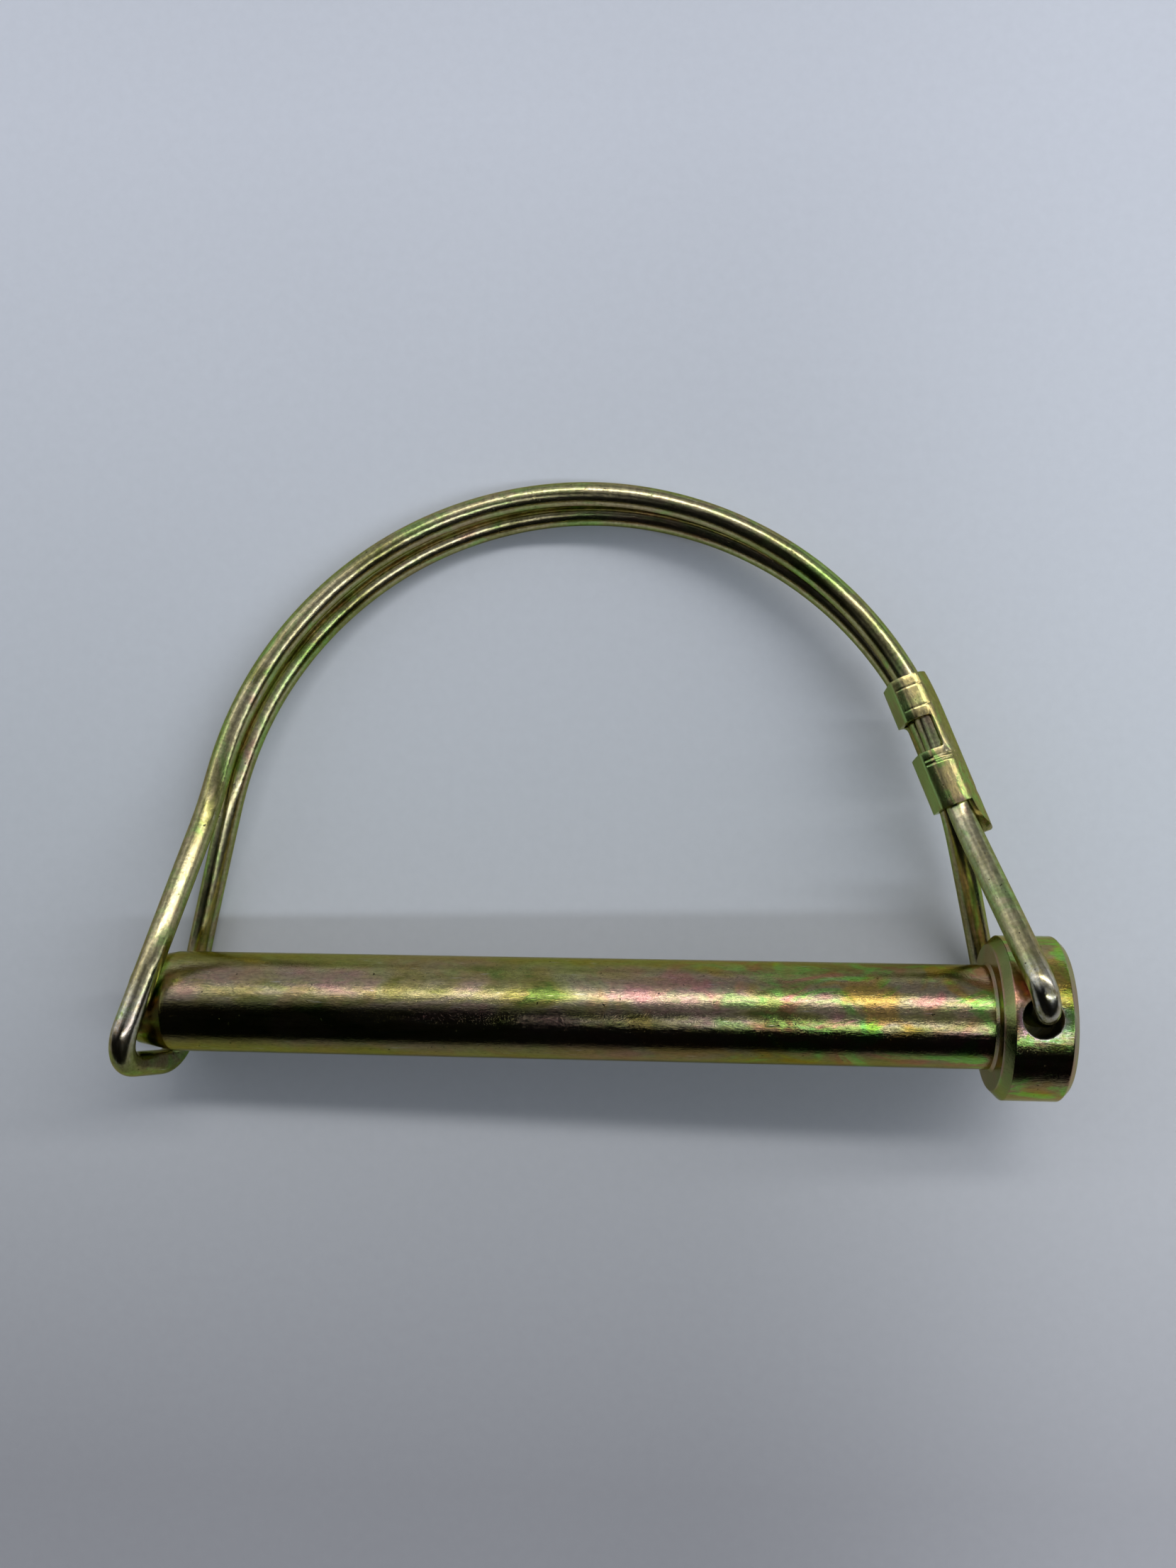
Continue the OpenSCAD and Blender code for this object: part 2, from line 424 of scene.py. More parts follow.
def wire_line():
    """Points down the middle of the whole wire, and the length along it at each."""
    path = hook_leg(1)[:-1] + arch(1)[:-1] + loop_legs()[:-1] + arch(-1)[::-1][:-1] + hook_leg(-1)[::-1]
    p, s = resample(path, WIRE_STEP)
    # The wire eases into its slack bends; the tight ones at the hooks and the loop keep their shape
    above_loop = smoothstep(3.2, 4.6, p[1:-1, 1])
    between_hooks = 1 - smoothstep(5.9, 6.6, np.abs(p[1:-1, 2]))
    ease = (above_loop * between_hooks)[:, None]
    for i in range(EASE_PASSES):
        w = 0.5 if i < EASE_ALL_PASSES else 0.5 * ease
        p[1:-1] = p[1:-1] * (1 - w) + (p[:-2] + p[2:]) * w / 2
    return p, s


def sweep_axes(p):
    """Tangent, up and side at each point of a line, with no twist from one point to the next."""
    tangent = np.gradient(p, axis=0)
    tangent /= np.linalg.norm(tangent, axis=1, keepdims=True)
    up = np.zeros_like(p)
    up[0] = unit(np.cross(tangent[0], [0.0, 1.0, 0.2]))
    for i in range(1, len(p)):
        up[i] = unit(up[i - 1] - tangent[i] * (up[i - 1] @ tangent[i]))
    return tangent, up, np.cross(tangent, up)


def wire_rows(count):
    """(point, shift along the wire, radius) of each ring. The cut ends are slightly rounded."""
    last = count - 1
    rows = [(0, shift, r) for shift, r in CUT_END]
    rows += [(i, 0.0, WIRE_R) for i in range(2, last - 1)]
    return rows + [(last, -shift, r) for shift, r in reversed(CUT_END)]


def wire_wear(verts, arc):
    """Wear where the hooks were bent, where the loop snaps over the tip and under the clip."""
    x, y, z = verts.T
    hooks = smoothstep(7.5, 9.5, np.abs(z)) * smoothstep(-4.0, 0.0, x) * (1 - smoothstep(3.0, 6.0, y))
    loop = (1 - smoothstep(-1.0, 3.0, y)) * smoothstep(-5.2, -3.0, y) * (1 - smoothstep(-77.5, -75.5, x))
    crimp = np.exp(-((arc - 24) / 9.0) ** 2)
    return np.clip(hooks * 0.75 + loop * 0.5 + crimp * 0.15, 0, 1)


def build_wire():
    p, s = wire_line()
    tangent, up, side = sweep_axes(p)
    verts, places, rings = [], [], []
    for i, shift, r in wire_rows(len(p)):
        centre = p[i] + tangent[i] * shift
        angles = ring_angles(WIRE_SIDES if r else 1)
        rings.append(next_ids(verts, len(angles)))
        for a in angles:
            # Drawn wire is a little out of round where it was bent and crimped
            wobble = 1 - 0.006 * (1 + math.sin(0.31 * s[i] + 2.0 * a))
            verts.append(centre + r * wobble * (math.cos(a) * up[i] + math.sin(a) * side[i]))
            places.append((s[i] + shift, r * math.cos(a), r * math.sin(a)))
    verts, places = np.array(verts), np.array(places)
    obj = new_object("bail_wire", verts * MM, ring_faces(rings))
    add_attribute(obj.data, "piece_mm", places)
    add_attribute(obj.data, "worn", wire_wear(verts, places[:, 0]))
    return obj


# ---------------------------------------------------------------- the pin: turned, with a cross-hole
def lathe_profile():
    """(radius, x) along the pin from tip to head. Most corners get small rounds."""
    c, f = SHOULDER_CHAMFER, FACE_CHAMFER
    corners = [((0, TIP_X), 0), ((TIP_R - TIP_BEVEL, TIP_X), 0.12), ((TIP_R, TIP_X + TIP_BEVEL), 0.2),
               ((PIN_R, -GRIP), 1.2), ((PIN_R, -FILLET_R), 0), ((PIN_R + FILLET_R, 0), 0),
               ((HEAD_R - c, 0), 0.1), ((HEAD_R, c), 0.16),
               ((HEAD_R, HEAD_W - f), 0.3), ((HEAD_R - f, HEAD_W), 0.2), ((0, HEAD_W), 0)]
    line = []
    for i, (corner, r) in enumerate(corners):
        if r:
            line += rounded(corners[i - 1][0], corner, corners[i + 1][0], r, steps=4)
        else:
            line.append(np.array(corner, float))
    return line


def turned_body():
    """The pin before its cross-hole is cut."""
    profile = lathe_profile()
    line = []
    for a, b in zip(profile[:-1], profile[1:]):
        n = max(1, int(np.linalg.norm(b - a) / PROFILE_STEP))
        line += [a + (b - a) * k / n for k in range(n)]
    line.append(profile[-1])
    verts, rings = [], []
    for r, x in line:
        angles = ring_angles(PIN_SIDES if r > 1e-6 else 1)
        rings.append(next_ids(verts, len(angles)))
        verts += [(x, r * math.cos(a), r * math.sin(a)) for a in angles]
    return new_object("pin_body", np.array(verts) * MM, ring_faces(rings))


def bore_cutter():
    """A closed cylinder along the cross-hole, longer than the head is wide."""
    verts = [(HOLE_X + WIDE_BORE_R * math.cos(a), WIDE_BORE_R * math.sin(a), z)
             for z in (-HEAD_R - 2, HEAD_R + 2) for a in ring_angles(BORE_SIDES)]
    low, high = list(range(BORE_SIDES)), list(range(BORE_SIDES, 2 * BORE_SIDES))
    return new_object("cutter", np.array(verts) * MM, ring_faces([low, high]) + [low[::-1], high], smooth=False)


def on_bore_wall(face):
    c = face.calc_center_median() / MM
    inside = math.hypot(c.x - HOLE_X, c.y) < WIDE_BORE_R + 0.01 and abs(c.z) < HEAD_R + 1
    return inside and abs(face.normal.z) < 0.3 and c.x > 0.2


def pin_wear(p):
    """Bright spots round the hole's mouths and on the tip's bevel."""
    r = np.hypot(p[:, 1], p[:, 2])
    d = np.hypot(p[:, 0] - HOLE_X, p[:, 1])
    mouth = np.exp(-np.maximum(d - HOLE_R - 0.1, 0) / 0.22) * (r > HEAD_R - 0.3)
    tip = 0.3 * np.exp(-np.abs(p[:, 0] - TIP_X - TIP_BEVEL) / 0.3)
    return np.clip(mouth + tip, 0, 1)


def build_pin():
    """The turned body, cut through a little wide. build_cross_hole lays in the hole's wall and mouths."""
    pin = turned_body()
    cutter = bore_cutter()
    cut = pin.modifiers.new("bore", "BOOLEAN")
    cut.operation = "DIFFERENCE"
    cut.solver = "EXACT"
    cut.object = cutter
    mesh = apply_modifiers(pin)
    bpy.data.objects.remove(cutter)
    bm = bmesh.new()
    bm.from_mesh(mesh)
    bmesh.ops.delete(bm, geom=[f for f in bm.faces if on_bore_wall(f)], context="FACES")
    for f in bm.faces:
        f.smooth = True
    bm.to_mesh(mesh)
    bm.free()
    add_attribute(mesh, "piece_mm", places_mm(mesh))
    add_attribute(mesh, "worn", pin_wear(places_mm(mesh)))
    mesh.set_sharp_from_angle(angle=math.radians(28))
    return pin


def build_cross_hole():
    """The cross-hole's wall, with a rounded mouth at each end that follows the head's round surface."""
    verts, worn, rings = [], [], []
    for side in (1, -1):
        for i in range(MOUTH_STEPS):
            t = math.radians(90 * i / (MOUTH_STEPS - 1))
            r = WIDE_BORE_R - MOUTH_R * math.sin(t)
            drop = MOUTH_DEPTH * (1 - math.cos(t))
            rings.append(next_ids(verts, BORE_SIDES))
            for a in ring_angles(BORE_SIDES):
                edge_z = math.sqrt(HEAD_R ** 2 - (WIDE_BORE_R * math.sin(a)) ** 2)
                verts.append((HOLE_X + r * math.cos(a), r * math.sin(a), side * (edge_z - drop)))
                worn.append(0.9 if drop < 0.1 else 0.3 if drop < 0.2 else 0.0)
    front, rear = rings[:MOUTH_STEPS], rings[MOUTH_STEPS:]
    verts = np.array(verts)
    obj = new_object("pin_cross_hole", verts * MM, ring_faces(front + rear[::-1], inward=True))
    add_attribute(obj.data, "piece_mm", verts)
    add_attribute(obj.data, "worn", worn)
    return obj


# ---------------------------------------------------------------- the clip: rolled sheet with a window and a lip
# The clip's own frame has +x to the outside of the bail, +y along the strands to the arch and +z to the front
def clip_outline():
    """Outer section of the clip (x, z): faceted on the inner side of the bail, round on the outer side."""
    w, h = CLIP_OUT_W / 2 - OUTLINE_GAP, CLIP_OUT_H / 2 - OUTLINE_GAP
    outer, inner = 1.45, 0.85
    corners = [(w, -h + outer), (w, h - outer), (w - outer, h), (-w + inner, h),
               (-w, h - inner), (-w, -h + inner), (-w + inner, -h), (w - outer, -h)]
    radii = [1.7, 1.7, 1.7, 0.75, 0.55, 0.55, 0.75, 1.7]
    line = []
    for i, corner in enumerate(corners):
        line += rounded(corners[i - 1], corner, corners[(i + 1) % len(corners)], radii[i], steps=5)
    return np.array(line)


class ClipSection:
    """The clip's section. u goes from 0 to 1 round it, from one of the sheet's edges to the other."""

    def __init__(self):
        outline = clip_outline()
        self.line = np.vstack([outline, outline[:1]])
        runs = np.linalg.norm(np.diff(self.line, axis=0), axis=1)
        self.total = runs.sum()
        self.arc = np.concatenate([[0], np.cumsum(runs)])
        # The sheet's edges meet at the middle of the rear face
        arcs = np.linspace(0, self.total, SECTION_POINTS)
        at = np.array([self.at(arc) for arc in arcs])
        self.seam = arcs[np.argmin(np.abs(at[:, 0]) + 10 * (at[:, 1] > 0))]
        self.us = np.linspace(0, 1, SECTION_POINTS)
        self.ring = np.array([self.point(u) for u in self.us])

    def at(self, arc):
        arc = np.mod(arc, self.total)
        return np.array([np.interp(arc, self.arc, self.line[:, 0]), np.interp(arc, self.arc, self.line[:, 1])])

    def point(self, u):
        return self.at(self.seam + SEAM_GAP / 2 + u * (self.total - SEAM_GAP))

    def u_of(self, x, face):
        """Place round the sheet of the point at x on the front face, 1, or on the rear face, -1."""
        miss = np.abs(self.ring[:, 0] - x) + 10 * (np.sign(self.ring[:, 1]) != face)
        return self.us[np.argmin(miss)]


def clip_columns(window, lip):
    """Places round the sheet of its columns, which are close together at the window's and the lip's edges."""
    columns = list(np.linspace(0, 1, 150))
    columns += [window[0] + t for t in (-0.006, -0.003, 0, 0.003, 0.006, 0.012, 0.02)]
    columns += [window[1] + t for t in (-0.02, -0.012, -0.006, 0, 0.006)]
    columns += [lip[0] + t for t in (0, 0.002, 0.006)]
    columns += [lip[1] - t for t in (0, 0.002, 0.006)]
    return sorted(u for u in set(columns) if 0 <= u <= 1)


def window_rows(u, window, total):
    """(bottom, top) of the window at u, with rounded corners. Beside the window its edges' middle is given."""
    t = min(max((u - window[0]) / (window[1] - window[0]), 0), 1)
    depth = max(min(u - window[0], window[1] - u), 0) * total
    pull = WINDOW_R - math.sqrt(max(WINDOW_R ** 2 - max(WINDOW_R - depth, 0) ** 2, 0))
    return WINDOW_BOTTOM + 0.12 * math.sin(t * 3.0) + pull, WINDOW_TOP + 0.22 * t - pull


def sheet_foot(u, lip):
    """Lowest point of the sheet at u: the clip's lower edge, or the lip's round end."""
    if not lip[0] < u < lip[1]:
        return -CLIP_HALF
    t = (u - (lip[0] + lip[1]) / 2) / ((lip[1] - lip[0]) / 2)
    return -CLIP_HALF - LIP_LEN * 0.985 * (1 - abs(t) ** LIP_POWER) ** (1 / LIP_POWER)


def pressed(x, y, z):
    """Where a point of the plain sheet lies: narrower at the top, with lines, a dent and a crease."""
    taper = 0.25 * np.clip((y - 1) / (CLIP_HALF - 1), 0, 1) ** 3 if x > 0 else 0.0
    shrink = 1 - taper / (CLIP_OUT_W / 2) * smoothstep(0.0, 1.5, x)
    groove = 0.0
    if z > CLIP_OUT_H / 2 - 0.6:
        groove = sum(depth * math.exp(-((y - line) / 0.09) ** 2) for line, depth in PRESSED_LINES)
        groove += 0.14 * math.exp(-((y + 1.6) / 0.22) ** 2 - ((x - 0.35) / 0.3) ** 2)
    crease = 0.07 * math.exp(-((y + 5.8) / 0.14) ** 2) * smoothstep(0.1, 0.4, x)
    return x * shrink - crease, y, z - groove * np.sign(z) - crease * 0.5 * np.sign(z)


def clip_sheet():
    """Vertices and faces of the sheet's outer side, in the clip's own frame."""
    section = ClipSection()
    window = sorted((section.u_of(WINDOW_RIGHT, 1), section.u_of(WINDOW_LEFT, -1)))
    lip = sorted(section.u_of(CLIP_OUT_W / 2 - LIP_DEPTH, face) for face in (1, -1))
    # Rows are close together where lines are pressed into the sheet
    under = list(np.linspace(-CLIP_HALF, -2.56, 8)) + list(np.arange(-2.5, -1.4, 0.06))
    over = list(np.arange(3.0, 3.65, 0.06)) + [4.0, 4.4, 4.8]
    over += list(np.arange(5.1, 5.75, 0.06)) + [6.0, CLIP_HALF]
    verts, columns = [], []
    places = clip_columns(window, lip)
    for u in places:
        x, z = section.point(u)
        rows = list(np.linspace(sheet_foot(u, lip), -CLIP_HALF, LIP_ROWS + 1)[:-1]) + under
        rows += list(np.linspace(*window_rows(u, window, section.total), WINDOW_ROWS + 1)) + over
        columns.append(next_ids(verts, len(rows)))
        verts += [pressed(x, y, z) for y in rows]
    faces = []
    first = LIP_ROWS + len(under)
    for i in range(len(places) - 1):
        a, b = columns[i], columns[i + 1]
        middle = (places[i] + places[i + 1]) / 2
        gap = range(first, first + WINDOW_ROWS) if window[0] < middle < window[1] else ()
        start = 0 if lip[0] <= middle <= lip[1] else LIP_ROWS
        faces += [(a[r], a[r + 1], b[r + 1], b[r]) for r in range(start, len(a) - 1) if r not in gap]
    return np.array(verts), faces


def without_loose(verts, faces):
    """Leaves out the vertices that no face uses."""
    used = sorted({i for f in faces for i in f})
    renumber = {old: new for new, old in enumerate(used)}
    return verts[used], [tuple(renumber[i] for i in f) for f in faces]


def merge_and_orient(mesh):
    """Merges vertices that coincide and turns the faces outwards."""
    bm = bmesh.new()
    bm.from_mesh(mesh)
    bmesh.ops.remove_doubles(bm, verts=bm.verts, dist=1e-7)
    bmesh.ops.recalc_face_normals(bm, faces=bm.faces)
    front = max(bm.faces, key=lambda f: f.calc_center_median().z)
    if front.normal.z < 0:
        bmesh.ops.reverse_faces(bm, faces=bm.faces)
    bm.to_mesh(mesh)
    bm.free()


def build_clip():
    lean = math.radians(CLIP_LEAN)
    turn = np.array([[math.cos(lean), -math.sin(lean)], [math.sin(lean), math.cos(lean)]])
    along_arch = touch_angle(np.array([HOLE_X, HOOK_SHIFT[1]]), ARCH_MID, ARCH_R, 1) + CLIP_AHEAD
    centre = on_circle(ARCH_MID, ARCH_R - CLIP_INWARD, along_arch)
    verts, faces = without_loose(*clip_sheet())
    verts[:, :2] = verts[:, :2] @ turn.T + centre
    obj = new_object("clip_sheet", verts * MM, faces)
    merge_and_orient(obj.data)
    obj.data.shade_smooth()
    thick = obj.modifiers.new("sheet", "SOLIDIFY")
    thick.thickness = SHEET * MM
    thick.offset = -1
    thick.use_even_offset = True
    edge = obj.modifiers.new("edges", "BEVEL")
    edge.width = 0.09 * MM
    edge.segments = 3
    edge.limit_method = "ANGLE"
    edge.angle_limit = math.radians(50)
    mesh = apply_modifiers(obj)
    local = places_mm(mesh)
    local[:, :2] = (local[:, :2] - centre) @ turn
    add_attribute(mesh, "piece_mm", local[:, [1, 0, 2]])
    # Worn at the window's lower right corner and at the lip's end
    corner = 0.8 * np.exp(-np.hypot(local[:, 0] - WINDOW_RIGHT, local[:, 1] - WINDOW_BOTTOM) / 0.35)
    lip_end = 0.5 * np.exp(-np.abs(local[:, 1] + CLIP_HALF + LIP_LEN) / 0.3)
    add_attribute(mesh, "worn", np.clip(corner + lip_end, 0, 1))
    mesh.shade_smooth()
    mesh.set_sharp_from_angle(angle=math.radians(35))
    return obj


# ---------------------------------------------------------------- the plating
TAN = (0.45, 0.37, 0.24)
PINK = (0.48, 0.32, 0.26)
GOLD = (0.57, 0.48, 0.24)
COPPER = (0.60, 0.41, 0.26)
SAND = (0.44, 0.38, 0.19)
OLIVE = (0.28, 0.27, 0.09)
LEAF = (0.24, 0.54, 0.11)
MOSS = (0.16, 0.22, 0.06)
SILVER = (0.66, 0.64, 0.58)
MAUVE_EDGE = (0.31, 0.24, 0.13)
DARK = (0.02, 0.018, 0.012)


def patches(n, vec, streaks, scale, tones, edge_tone):
    """Interference colours in patches drawn out along the piece, which shift towards grazing view."""
    patch = n.noise(n.drawn(vec, 0.45), scale, 3, 0.6, 0.5)
    fine = n.noise(n.drawn(vec, 0.5), scale * 6, 3, 0.6)
    tone = n.plus(n.plus(n.times(patch, 0.75), n.times(fine, 0.15)), n.times(streaks, 0.10))
    colour = n.ramp(n.remap(tone, 0.38, 0.62), tones)
    facing = n.add("ShaderNodeLayerWeight", {"Blend": 0.5}).outputs["Facing"]
    shifted = n.plus(facing, n.times(n.minus(fine, 0.5), 0.3))
    edge_patch = n.remap(n.noise(n.drawn(vec, 0.25), scale * 1.3, 2, 0.5), 0.42, 0.6, smooth=True)
    edge_colour = n.mix(edge_patch, (*edge_tone, 1), (*MAUVE_EDGE, 1))
    return n.mix(n.remap(shifted, 0.08, 0.5, 0, 0.9, smooth=True), colour, edge_colour)


def leafy(n, vec, place, colour, scale, green, zone):
    """Leaf-green patches. green holds the noise levels at which they start and are full, and their strength."""
    start, full, most = green
    mask = n.remap(n.noise(n.drawn(vec, 0.6), scale * 1.6, 4, 0.62, 1.2), start, full, 0, most, smooth=True)
    if zone is not None:
        mask = n.times(mask, zone(n, place))
    return n.mix(mask, colour, (*LEAF, 1))


def mottled(n, vec, colour):
    stops = [(0.3, (0.5, 0.47, 0.45)), (0.5, (1, 1, 1)), (0.7, (1.4, 1.35, 1.25))]
    return n.mix(0.6, colour, n.ramp(n.noise(n.drawn(vec, 0.4), 4.5, 4, 0.7), stops), "MULTIPLY")


def worn_and_pitted(n, vec, colour, pits):
    """Bare silver in scratches and where the piece is worn, and black pits."""
    worn = n.remap(n.noise(vec, 1.9, 4, 0.7), 0.36, 0.55)
    worn = n.math("MULTIPLY", n.attribute("worn", "Fac"), worn, clamp=True)
    scratch = n.remap(n.noise(n.drawn(vec, 0.1), 5.5, 2, 0.5), 0.68, 0.76, 0, 0.45)
    colour = n.mix(n.math("MAXIMUM", worn, scratch, clamp=True), colour, (*SILVER, 1))
    return n.mix(n.times(pits, 0.85), colour, (*DARK, 1))


def rippled(n, vec, colour, amount):
    """Short crosswise marks, left where the wire was drawn over the bending tool."""
    stops = [(0.36, (0.62, 0.6, 0.6)), (0.64, (1.4, 1.4, 1.5))]
    return n.mix(amount, colour, n.ramp(n.noise(n.drawn(vec, 1, 0.25), 3.2, 3, 0.6), stops), "MULTIPLY")


def drawn_surface(n, vec, streaks, pits, rough, raggedness, graininess):
    """Roughness and normal: drawing marks a few tenths of a millimetre long, fine grain and shallow waves."""
    marks = n.noise(n.drawn(vec, 0.32), 5.5, 4, 0.72)
    grain = n.noise(n.drawn(vec, 0.5), 9.0, 3, 0.65)
    roughness = n.remap(n.plus(n.times(marks, 0.5), n.times(streaks, 0.5)), 0.35, 0.65, *rough)
    height = n.plus(n.plus(marks, n.times(grain, graininess)), n.times(streaks, 0.4))
    height = n.minus(height, n.times(pits, 0.35))
    wave = n.noise(n.drawn(vec, 0.5), 0.6, 2, 0.5)
    return n.plus(roughness, n.times(pits, 0.1)), n.bump(wave, 0.03, n.bump(height, raggedness))


def plating(name, seed, scale, tones, edge_tone, green, rough, raggedness,
            zone=None, shade=None, graininess=0.7, ripple=0.0):
    """Yellow zinc plating. piece_mm holds each point's place on the piece, with its length first."""
    n = Nodes(bpy.data.materials.new(name))
    place = n.attribute("piece_mm", "Vector")
    vec = n.vector_math("ADD", place, (seed * 17.3, seed * 5.1, seed * 9.7))
    streaks = n.noise(n.drawn(vec, 0.06), 2.6, 3, 0.6)
    pits = n.remap(n.noise(vec, 2.6, 2, 0.5), 0.71, 0.74)
    colour = patches(n, vec, streaks, scale, tones, edge_tone)
    colour = mottled(n, vec, leafy(n, vec, place, colour, scale, green, zone))
    colour = worn_and_pitted(n, vec, colour, pits)
    if shade is not None:
        colour = shade(n, place, vec, colour)
    if ripple:
        colour = rippled(n, vec, colour, ripple)
    roughness, normal = drawn_surface(n, vec, streaks, pits, rough, raggedness, graininess)
    shader = n.add("ShaderNodeBsdfPrincipled", {
        "Base Color": colour, "Metallic": 1.0, "Roughness": roughness, "Normal": normal,
        "Specular Tint": (0.75, 0.72, 0.42, 1)})
    return n.finish(shader)


def near_head(n, place):
    """Green shows mostly on the last third of the shank and on the head, and on the tip's taper."""
    x = n.part(place, "X")
    tip = n.remap(x, -GRIP - 0.4, -GRIP + 0.6, 1, 0, smooth=True)
    return n.math("MAXIMUM", n.remap(x, -32, -14, 0.12, 1, smooth=True), tip)


def lower_end(n, place):
    """The clip is greener below its window."""
    return n.remap(n.part(place, "X"), -1.5, 3.5, 1, 0.4, smooth=True)


def pin_shade(n, place, vec, colour):
    """Pink and yellow fringes towards the head, and a dark brown tip that is a painted reflection of the wire."""
    x = n.part(place, "X")
    fringes = [(0.38, (1.25, 1.0, 0.55)), (0.46, (1, 1, 0.95)), (0.53, (1, 1, 1)), (0.62, (1.28, 0.78, 0.98))]
    tint = n.ramp(n.noise(n.drawn(vec, 0.9), 0.22, 2, 0.55, 0.6), fringes)
    colour = n.mix(n.remap(x, -45, -12, 0.25, 1.0, smooth=True), colour, tint, "MULTIPLY")
    # The shoulder is greyish, its chamfer olive and the outer chamfer mauve
    shoulder = n.times(n.remap(x, -0.3, -0.1, 0, 0.6), n.remap(x, 0.03, 0.12, 1, 0))
    colour = n.mix(shoulder, colour, (0.38, 0.33, 0.24, 1))
    chamfer_end = n.remap(x, SHOULDER_CHAMFER - 0.1, SHOULDER_CHAMFER + 0.05, 1, 0)
    colour = n.mix(n.times(n.remap(x, 0.05, 0.2, 0, 0.8), chamfer_end), colour, (0.22, 0.29, 0.09, 1))
    rim = n.remap(x, HEAD_W - FACE_CHAMFER - 0.08, HEAD_W - FACE_CHAMFER + 0.1, 0, 0.75)
    colour = n.mix(rim, colour, (0.43, 0.33, 0.29, 1))
    # Painted reflection: the tip's taper is darkened and browned where it mirrors the wire
    taper = n.remap(x, -GRIP - 0.25, -GRIP + 0.25, 0.9, 0, smooth=True)
    painted_reflection_tones = [(0.35, (0.25, 0.32, 0.22)), (0.5, (0.45, 0.34, 0.2)), (0.65, (0.9, 0.6, 0.35))]
    return n.mix(taper, colour, n.ramp(n.noise(vec, 0.9, 3, 0.6), painted_reflection_tones), "MULTIPLY")


def clip_shade(n, place, vec, colour):
    """The side towards the middle of the bail is a paler green."""
    cloud = n.remap(n.noise(n.drawn(vec, 0.5), 0.5, 3, 0.6), 0.38, 0.56, 0.25, 0.85, smooth=True)
    inner = n.remap(n.part(place, "Y"), -1.15, -1.4, 0, 1, smooth=True)
    return n.mix(n.times(inner, cloud), colour, (0.30, 0.50, 0.16, 1))


def plated_pin():
    tones = [(0.0, MOSS), (0.12, OLIVE), (0.4, SAND), (0.55, TAN), (0.8, PINK), (1.0, TAN)]
    return plating("plated_pin", seed=1.0, scale=0.14, tones=tones, edge_tone=(0.27, 0.25, 0.065),
                   green=(0.48, 0.62, 0.95), rough=(0.07, 0.13), raggedness=0.015,
                   zone=near_head, shade=pin_shade, graininess=0.55)


def plated_bore():
    # Painted shade: the cross-hole's wall is near black, as shade falls deep in the hole
    tones = [(0.0, (0.02, 0.022, 0.01)), (1.0, (0.07, 0.06, 0.04))]
    return plating("plated_bore", seed=2.0, scale=0.3, tones=tones, edge_tone=(0.03, 0.03, 0.02),
                   green=(0.55, 0.62, 0.2), rough=(0.35, 0.5), raggedness=0.03)


def plated_wire():
    tones = [(0.0, OLIVE), (0.35, (0.58, 0.50, 0.26)), (0.7, (0.66, 0.58, 0.34)), (1.0, COPPER)]
    return plating("plated_wire", seed=3.0, scale=0.2, tones=tones, edge_tone=(0.22, 0.27, 0.075),
                   green=(0.47, 0.68, 0.5), rough=(0.13, 0.23), raggedness=0.009, ripple=0.35)


def plated_clip():
    tones = [(0.0, (0.42, 0.40, 0.12)), (0.25, GOLD), (0.5, (0.68, 0.56, 0.24)), (0.8, (0.70, 0.54, 0.27)),
             (1.0, (0.62, 0.43, 0.32))]
    return plating("plated_clip", seed=4.0, scale=0.3, tones=tones, edge_tone=(0.24, 0.24, 0.07),
                   green=(0.50, 0.66, 0.7), rough=(0.17, 0.28), raggedness=0.013,
                   zone=lower_end, shade=clip_shade)


# ---------------------------------------------------------------- build and place
wire = build_wire()
pin = build_pin()
mouth = build_cross_hole()
clip = build_clip()
for piece, material in ((pin, plated_pin()), (mouth, plated_bore()), (wire, plated_wire()), (clip, plated_clip())):
    piece.data.materials.clear()
    piece.data.materials.append(material)

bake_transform(wire)
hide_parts("bail_hook_half", "bail_loop_half")
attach(pin, "pin")
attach(mouth, "pin")
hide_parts("hitch_pin")
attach(clip, "bail_root")
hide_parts("wire_clip")

# ---------------------------------------------------------------- camera
CAMERA_AT = Vector((-27.095, 0.988, 126.117)) * MM
RIGHT = Vector((0.99674, 0.01935, -0.07831)).normalized()
BACK = Vector((0.08041, -0.1602, 0.9838)).normalized()
UP = BACK.cross(RIGHT).normalized()
RIGHT = UP.cross(BACK).normalized()
LENS_MM = 30.295
SENSOR_MM = 36


def add_camera():
    data = bpy.data.cameras.new("camera")
    data.lens = LENS_MM
    data.sensor_width = SENSOR_MM
    data.clip_start = 0.005
    data.clip_end = 20
    camera = bpy.data.objects.new("camera", data)
    camera.matrix_world = Matrix.Translation(CAMERA_AT) @ Matrix((RIGHT, UP, BACK)).transposed().to_4x4()
    bpy.context.scene.collection.objects.link(camera)
    bpy.context.scene.camera = camera


# ---------------------------------------------------------------- floor: what the piece lies on
def resting_plane(points):
    """Normal and height of the plane that touches the model at its head, its tip and its arch."""
    regions = [points[:, 0] > 0, points[:, 0] < -0.070, points[:, 1] > 0.040]
    normal = np.array([0.0, 0.0, 1.0])
    for _ in range(12):
        feet = [points[r][np.argmin(points[r] @ normal)] for r in regions]
        normal = unit(np.cross(feet[1] - feet[0], feet[2] - feet[0]))
        if normal[2] < 0:
            normal = -normal
    return Vector(normal), min(points @ normal)


